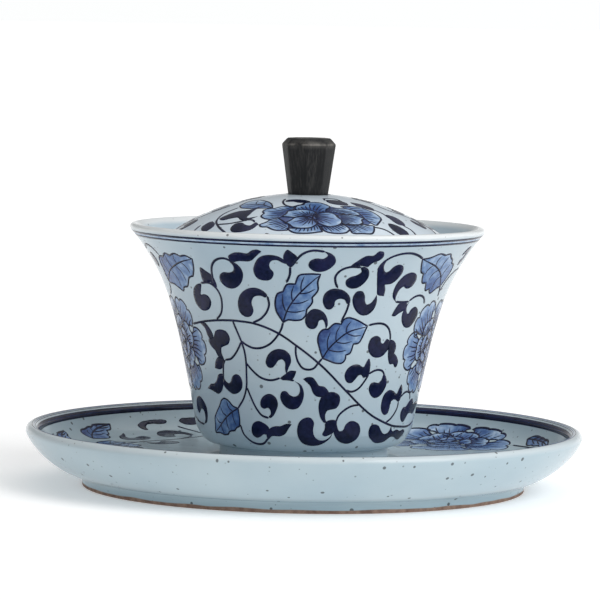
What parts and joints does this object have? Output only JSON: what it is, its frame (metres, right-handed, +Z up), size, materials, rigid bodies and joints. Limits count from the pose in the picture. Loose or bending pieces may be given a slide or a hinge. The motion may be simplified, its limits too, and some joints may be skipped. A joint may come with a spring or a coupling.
{
  "type": "gaiwan",
  "caption": "Lidded porcelain tea bowl on a footed saucer, painted blue and white, with an eight-sided dark wooden knob screwed to the domed lid.",
  "frame": {"origin": "centre of the saucer's foot ring, on the surface it stands on", "axes": "+Z up along the common axis of saucer, bowl, lid and knob; -Y towards the side that shows the lid's large flower"},
  "size_m": [0.1544, 0.1544, 0.0969],
  "materials": {
    "saucer_porcelain": "pale grey-blue glossy glaze with fine iron specks, painted on the inside in cobalt, rust-brown unglazed foot",
    "bowl_porcelain": "pale grey-blue glossy glaze with fine iron specks, painted outside in cobalt, matt cream lip",
    "lid_porcelain": "pale grey-blue glossy glaze with fine iron specks, painted on top in cobalt",
    "knob_wood": "black-stained fine-grained wood, satin, worn paler at the edges",
    "insert_brass": "turned",
    "screw_steel": "plain stainless",
    "washer_steel": "plain stainless",
    "seal_silicone": "matt translucent white"
  },
  "bodies": {
    "saucer": {"saucer": "saucer_porcelain"},
    "bowl": {"bowl": "bowl_porcelain"},
    "lid": {"lid": "lid_porcelain", "knob": "knob_wood", "knob_insert": "insert_brass", "knob_screw": "screw_steel", "screw_washer": "washer_steel", "seal_washer": "seal_silicone"}
  },
  "joints": [
    {"name": "bowl_lift", "type": "slide", "parent": "saucer", "child": "bowl", "axis": [0, 0, 1], "range_m": [0, 0.05]},
    {"name": "lid_lift", "type": "slide", "parent": "bowl", "child": "lid", "axis": [0, 0, 1], "range_m": [0, 0.05]}
  ]
}
